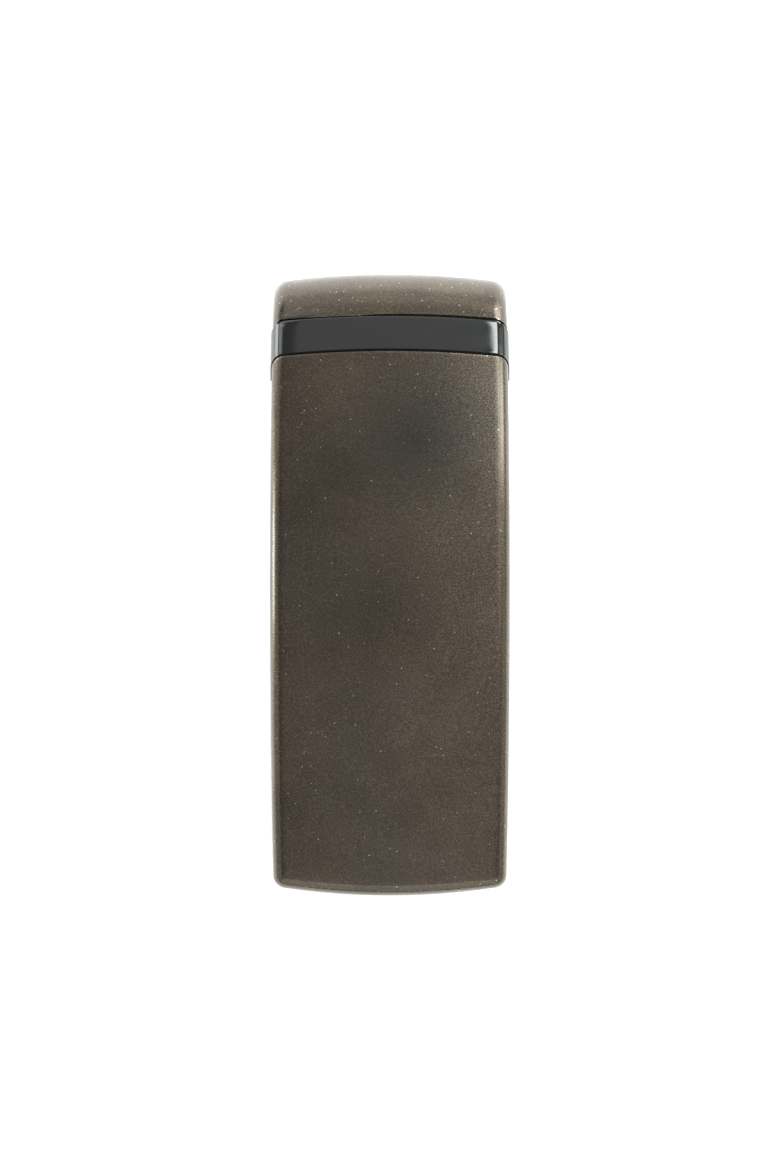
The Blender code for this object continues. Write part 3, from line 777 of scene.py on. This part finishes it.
class Finish:
    # a material, with short ways to add and link its nodes
    def __init__(self, name):
        self.material = bpy.data.materials.new(name)
        self.material.use_nodes = True
        self.tree = self.material.node_tree
        self.shader = self.tree.nodes["Principled BSDF"]
        self.coords = self.add("ShaderNodeTexCoord").outputs["Object"]

    def add(self, kind, **settings):
        node = self.tree.nodes.new(kind)
        for key, value in settings.items():
            if key in node.inputs:
                node.inputs[key].default_value = value
            else:
                setattr(node, key, value)
        return node

    def link(self, output, target):
        self.tree.links.new(output, target)

    def noise(self, scale, detail=2.0, roughness=0.5, stretch=None, shift=(0, 0, 0)):
        place = self.add("ShaderNodeMapping")
        place.inputs["Scale"].default_value = stretch or (1, 1, 1)
        place.inputs["Location"].default_value = shift
        self.link(self.coords, place.inputs["Vector"])
        made = self.add("ShaderNodeTexNoise", Scale=scale, Detail=detail, Roughness=roughness)
        self.link(place.outputs["Vector"], made.inputs["Vector"])
        return made.outputs["Fac"]

    def spread(self, value, fromLow, fromHigh, toLow, toHigh):
        made = self.add("ShaderNodeMapRange")
        for key, number in (("From Min", fromLow), ("From Max", fromHigh),
                            ("To Min", toLow), ("To Max", toHigh)):
            made.inputs[key].default_value = number
        self.link(value, made.inputs["Value"])
        return made.outputs["Result"]

    def sum(self, first, second, operation="ADD"):
        made = self.add("ShaderNodeMath", operation=operation)
        self.link(first, made.inputs[0])
        self.link(second, made.inputs[1])
        return made.outputs["Value"]

    def blendColour(self, factor, first, second, way="MIX"):
        made = self.add("ShaderNodeMix", data_type="RGBA", blend_type=way)
        for value, socket in ((factor, made.inputs[0]), (first, made.inputs[6]),
                              (second, made.inputs[7])):
            if isinstance(value, (float, int)):
                socket.default_value = value
            elif isinstance(value, tuple):
                socket.default_value = (*value, 1)
            else:
                self.link(value, socket)
        return made.outputs[2]

    def bump(self, height, strength, distance, normal=None):
        made = self.add("ShaderNodeBump", Strength=strength, Distance=distance)
        self.link(height, made.inputs["Height"])
        if normal:
            self.link(normal, made.inputs["Normal"])
        return made.outputs["Normal"]

    # edge wear and painted highlight, read from the shape
    def wearAndSheen(self):
        return self.add("ShaderNodeAttribute", attribute_name="edgeWearAndSheen").outputs["Fac"]

    # painted shade on the seam walls
    def paintedSeamShade(self):
        return self.add("ShaderNodeAttribute", attribute_name="paintedSeamShade").outputs["Fac"]

    def nearTo(self, point, reach, strength):
        # strongest at the point, fading to nothing at its reach
        near = self.add("ShaderNodeVectorMath", operation="DISTANCE")
        self.link(self.coords, near.inputs[0])
        near.inputs[1].default_value = point
        return self.spread(near.outputs["Value"], 0.0, reach, strength, 0.0)

    def specks(self, cells, share, size):
        # sparse round dots: 1 in a dot, 0 elsewhere
        cell = self.add("ShaderNodeTexVoronoi", Scale=cells)
        self.link(self.coords, cell.inputs["Vector"])
        tone = self.add("ShaderNodeSeparateColor")
        self.link(cell.outputs["Color"], tone.inputs["Color"])
        chosen = self.spread(tone.outputs["Red"], 1 - share, 1 - share + 0.004, 0, 1)
        dot = self.spread(cell.outputs["Distance"], size, size * 0.5, 0, 1)
        return self.sum(chosen, dot, "MULTIPLY")


gunmetal = {
    "dark": (0.074, 0.053, 0.038),
    "light": (0.122, 0.090, 0.066),
    "blue": (0.080, 0.069, 0.061),
    "olive": (0.104, 0.084, 0.053),
    "rust": (0.136, 0.080, 0.052),
    "pit": (0.026, 0.019, 0.014),
    "fleck": (0.25, 0.215, 0.165),
    # lighter edges: partly wear, partly painted highlight
    "wornAndSheen": (0.26, 0.235, 0.19),
    "speck": (0.60, 0.56, 0.46),
    # nearly black on the seam walls: painted shade in the gap between parts
    "seamPaintedShade": (0.004, 0.004, 0.004),
    "metallic": 0.80,
    "roughness": (0.24, 0.31),
    "coat": 0.4,
    "coatRoughness": 0.24,
    "patchScale": 105,
    "cloudScale": 70,
    "grainScale": 6800,
    "grainDepth": 0.010 * mm,
    "peelScale": 900,
    "peelDepth": 0.006 * mm,
    "speckCells": 5200,
    "speckShare": 0.018,
    # darker patches painted in as dim reflections: where, how far they reach, how strong, what colour
    "paintedReflections": (
        ((2.2 * mm, 12.0 * mm, 7.6 * mm), 7.5 * mm, 0.78, (0.030, 0.029, 0.027)),
        ((-4.5 * mm, 9.0 * mm, 7.6 * mm), 6.0 * mm, 0.35, (0.030, 0.026, 0.022)),
        ((-1.5 * mm, -1.6 * mm, 7.9 * mm), 6.5 * mm, 0.45, (0.026, 0.020, 0.015)),
    ),
}


def makeGunmetal(name, specs, shift=(0, 0, 0), speckShare=None):
    f = Finish(name)
    patches = f.noise(specs["patchScale"], 5, 0.62, shift=shift)
    clouds = f.noise(specs["cloudScale"], 3, 0.5, shift=tuple(a + 0.05 for a in shift))
    tint = f.noise(specs["cloudScale"] * 1.6, 3, 0.55, shift=tuple(a - 0.07 for a in shift))
    grain = f.noise(specs["grainScale"], 2, 0.6)
    peel = f.noise(specs["peelScale"], 3, 0.55)
    colour = f.blendColour(f.spread(patches, 0.36, 0.64, 0, 1), specs["dark"], specs["light"])
    colour = f.blendColour(f.spread(clouds, 0.52, 0.72, 0, 0.55), colour, specs["blue"])
    colour = f.blendColour(f.spread(tint, 0.55, 0.75, 0, 0.5), colour, specs["olive"])
    colour = f.blendColour(f.spread(tint, 0.42, 0.25, 0, 0.4), colour, specs["rust"])
    colour = f.blendColour(f.spread(grain, 0.36, 0.58, 0.4, 0.0), colour, specs["pit"])
    colour = f.blendColour(f.spread(grain, 0.56, 0.70, 0.0, 0.22), colour, specs["fleck"])
    # dark patches painted in as dim reflections on the face
    for place, reach, strength, shade in specs["paintedReflections"]:
        colour = f.blendColour(f.nearTo(place, reach, strength), colour, shade)
    # edges and seams lightened: partly wear, partly painted highlight
    wornAndSheen = f.sum(f.wearAndSheen(), f.spread(peel, 0.25, 0.75, 0.25, 1.0), "MULTIPLY")
    colour = f.blendColour(f.spread(wornAndSheen, 0.15, 1.0, 0, 0.5), colour, specs["wornAndSheen"])
    specks = f.specks(specs["speckCells"], speckShare or specs["speckShare"], 0.30)
    colour = f.blendColour(specks, colour, specs["speck"])
    # the seam walls painted nearly black: painted shade in the gap between parts
    colour = f.blendColour(f.paintedSeamShade(), colour, specs["seamPaintedShade"])
    f.link(colour, f.shader.inputs["Base Color"])
    f.shader.inputs["Metallic"].default_value = specs["metallic"]
    low, high = specs["roughness"]
    roughness = f.sum(f.spread(patches, 0.3, 0.7, high, low), f.spread(grain, 0.3, 0.7, -0.05, 0.05))
    f.link(roughness, f.shader.inputs["Roughness"])
    coarse = f.bump(peel, 0.5, specs["peelDepth"])
    f.link(f.bump(grain, 0.6, specs["grainDepth"], coarse), f.shader.inputs["Normal"])
    f.shader.inputs["Coat Weight"].default_value = specs["coat"]
    f.shader.inputs["Coat Roughness"].default_value = specs["coatRoughness"]
    return f.material


blackGloss = {
    "colour": (0.012, 0.012, 0.0125),
    "smear": (0.022, 0.021, 0.020),
    # lighter edges: partly wear, partly painted highlight
    "wornAndSheen": (0.035, 0.034, 0.033),
    "roughness": (0.07, 0.13),
    "ior": 1.75,
    "rippleScale": 260,
    "rippleDepth": 0.004 * mm,
    "scratchScale": 900,
}


def makeBlackGloss():
    f = Finish("blackGloss")
    ripple = f.noise(blackGloss["rippleScale"], 2, 0.4)
    smear = f.noise(blackGloss["scratchScale"], 4, 0.6, stretch=(0.12, 1, 1))
    colour = f.blendColour(f.spread(smear, 0.3, 0.7, 0.0, 0.25), blackGloss["colour"],
                           blackGloss["smear"])
    # edges lightened: partly wear, partly painted highlight
    colour = f.blendColour(f.spread(f.wearAndSheen(), 0.4, 1.0, 0, 0.8), colour, blackGloss["wornAndSheen"])
    f.link(colour, f.shader.inputs["Base Color"])
    f.shader.inputs["IOR"].default_value = blackGloss["ior"]
    low, high = blackGloss["roughness"]
    f.link(f.spread(smear, 0.3, 0.7, low, high), f.shader.inputs["Roughness"])
    f.link(f.bump(ripple, 0.4, blackGloss["rippleDepth"]), f.shader.inputs["Normal"])
    return f.material


steel = {
    "colour": (0.50, 0.49, 0.47),
    "shade": (0.36, 0.35, 0.335),
    "roughness": (0.24, 0.40),
    "brushScale": 2600,
    "brushDepth": 0.004 * mm,
    "cloudScale": 220,
}


def makeSteel(name, stretch, tone=1.0, roughShift=0.0):
    # drawn or brushed steel: fine lines along the axis that stretch makes long
    f = Finish(name)
    lines = f.noise(steel["brushScale"], 3, 0.6, stretch=stretch)
    cloud = f.noise(steel["cloudScale"], 3, 0.5)
    colour = f.blendColour(f.spread(lines, 0.3, 0.7, 0, 1), tuple(tone * c for c in steel["shade"]),
                           tuple(tone * c for c in steel["colour"]))
    colour = f.blendColour(f.spread(cloud, 0.5, 0.8, 0, 0.35), colour,
                           tuple(0.7 * tone * c for c in steel["shade"]))
    f.link(colour, f.shader.inputs["Base Color"])
    f.shader.inputs["Metallic"].default_value = 1.0
    low, high = steel["roughness"]
    roughness = f.sum(f.spread(lines, 0.3, 0.7, low + roughShift, high + roughShift),
                      f.spread(cloud, 0.3, 0.7, -0.03, 0.03))
    f.link(roughness, f.shader.inputs["Roughness"])
    f.link(f.bump(lines, 0.5, steel["brushDepth"]), f.shader.inputs["Normal"])
    return f.material


def dress(piece, material):
    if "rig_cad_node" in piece:
        for holder in piece.material_slots:
            holder.material = material
        return
    piece.data.materials.clear()
    piece.data.materials.append(material)


coverMetal = makeGunmetal("coverGunmetal", gunmetal)
capMetal = makeGunmetal("capGunmetal", {**gunmetal, "paintedReflections": ()}, (0.31, 0.12, 0.4), 0.05)
armSpecs = {**gunmetal, "light": (0.092, 0.068, 0.049), "paintedReflections": ()}
armMetal = makeGunmetal("armGunmetal", armSpecs, (0.7, 0.5, 0.2), 0.015)
for piece in (frontCover, topCap, accentBand, clampArm):
    markWearAndPaintedLight(piece)
dress(frontCover, coverMetal)
dress(topCap, capMetal)
dress(accentBand, makeBlackGloss())
dress(clampArm, armMetal)
dress(frame["nodes"]["back_plate"], makeSteel("plateSteel", (1, 0.03, 1), 0.8))
dress(hingePin, makeSteel("pinSteel", (0.05, 1, 1)))
screwSteel = makeSteel("screwSteel", (1, 1, 0.1), 0.9)
for screw, node in plateScrews:
    dress(screw, screwSteel)
springWire = makeSteel("springWire", (0.1, 1, 1), 1.1, -0.05)
for spring in (springLeft, springRight):
    dress(spring, springWire)
print("finishes made")

# floor, lights and camera

studio = {
    "floorGlow": 1.15,
    "floorGlowNear": 0.40,
    "worldStrength": 0.10,
    "tint": (0.93, 1.0, 0.96),  # on every panel except the overhead pair
    "floorSize": 3,
    "floorColour": (0.9, 0.9, 0.9, 1),
    "floorRoughness": 0.9,
    "glowColour": (1, 0.995, 0.985, 1),
    "glowInside": 1 * mm,  # the floor's glow rises from here, inside the body's edge
    "glowOutside": 8 * mm,  # to here, outside it
}
view = {
    "aimY": -0.1 * mm,
    "height": 506 * mm,
    "sensor": 36,
    "distance": 500,  # in millimetres, at which framedLength fills the sensor
    "framedLength": 97.5,
    "clipStart": 0.01,
}
# each panel: its middle in metres, its size across and along, its brightness, and whether it lies level
panels = {
    "overhead": ((0, 0.30, 0.95), (0.46, 0.90), 0.36, True),
    "overheadFoot": ((0, -0.42, 0.95), (0.60, 0.54), 0.60, True),
    "left": ((-0.75, -0.1, 0.38), (0.70, 1.3), 0.75, False),
    "leftHigh": ((-0.42, 0.46, 0.55), (0.50, 0.55), 1.0, False),
    "leftCard": ((-0.050, 0.003, 0.007), (0.014, 0.012), 15.0, False),
    "bandLow": ((-0.045, 0.028, 0.012), (0.016, 0.012), 5.5, False),
    "bandHigh": ((-0.034, 0.028, 0.030), (0.018, 0.010), 1.2, False),
    "right": ((0.75, -0.25, 0.38), (0.65, 1.0), 0.70, False),
    "rightHigh": ((0.75, 0.60, 0.30), (0.62, 0.6), 7.5, False),
    "rightCard": ((0.052, 0.020, 0.040), (0.036, 0.012), 9.0, False),
    "topHigh": ((0, 0.95, 0.80), (0.9, 0.45), 0.60, False),
    "topLow": ((0, 0.95, 0.26), (1.2, 0.50), 1.35, False),
    "bottom": ((0, -0.74, 0.56), (1.3, 1.00), 1.30, False),
    "key": ((0.300, 0.235, 0.65), (0.20, 0.32), 10.0, True),
    "keyHigh": ((0.50, 0.70, 0.45), (0.30, 0.40), 5.0, False),
}

bpy.ops.object.select_all(action="DESELECT")
bpy.ops.mesh.primitive_plane_add(size=studio["floorSize"], location=(0, 0, 0))
floor = bpy.context.active_object
floor.name = "floor"
paper = Finish("floorPaper")
paper.shader.inputs["Base Color"].default_value = studio["floorColour"]
paper.shader.inputs["Roughness"].default_value = studio["floorRoughness"]
paper.shader.inputs["Emission Color"].default_value = studio["glowColour"]
# the floor glows less close round the object, so that its rims mirror a darker strip
apart = paper.add("ShaderNodeSeparateXYZ")
paper.link(paper.coords, apart.inputs["Vector"])
beside = []
for way, reach in (("X", body["width"] / 2), ("Y", body["length"] / 2)):
    distance = paper.add("ShaderNodeMath", operation="ABSOLUTE")
    paper.link(apart.outputs[way], distance.inputs[0])
    beside.append(paper.spread(distance.outputs["Value"], reach - studio["glowInside"],
                               reach + studio["glowOutside"], 0.0, 1.0))
glow = paper.spread(paper.sum(*beside, "MAXIMUM"), 0.0, 1.0, studio["floorGlowNear"],
                    studio["floorGlow"])
paper.link(glow, paper.shader.inputs["Emission Strength"])
floor.data.materials.append(paper.material)

for name, (place, size, brightness, level) in panels.items():
    bpy.ops.object.light_add(type="AREA", location=place)
    panel = bpy.context.active_object
    panel.name = name
    away = Vector((0, 0, 1)) if level else Vector(place).normalized()
    across = Vector((0, 1, 0)).cross(away).normalized()
    panel.rotation_mode = "QUATERNION"
    panel.rotation_quaternion = Matrix((across, away.cross(across), away)).transposed().to_quaternion()
    panel.data.shape = "RECTANGLE"
    panel.data.size, panel.data.size_y = size
    panel.data.energy = brightness * math.pi * size[0] * size[1]
    panel.visible_camera = False
    if not name.startswith("overhead"):
        panel.data.color = studio["tint"]

bpy.ops.object.camera_add(location=(0, view["aimY"], view["height"]), rotation=(0, 0, 0))
camera = bpy.context.active_object
camera.data.sensor_width = view["sensor"]
camera.data.lens = view["sensor"] * view["distance"] / view["framedLength"]
camera.data.clip_start = view["clipStart"]
bpy.context.scene.camera = camera

world = bpy.data.worlds.new("studio")
bpy.context.scene.world = world
world.use_nodes = True
world.node_tree.nodes["Background"].inputs["Color"].default_value = (1, 1, 1, 1)
world.node_tree.nodes["Background"].inputs["Strength"].default_value = studio["worldStrength"]
bpy.context.scene.view_settings.view_transform = "Standard"
print("studio ready")
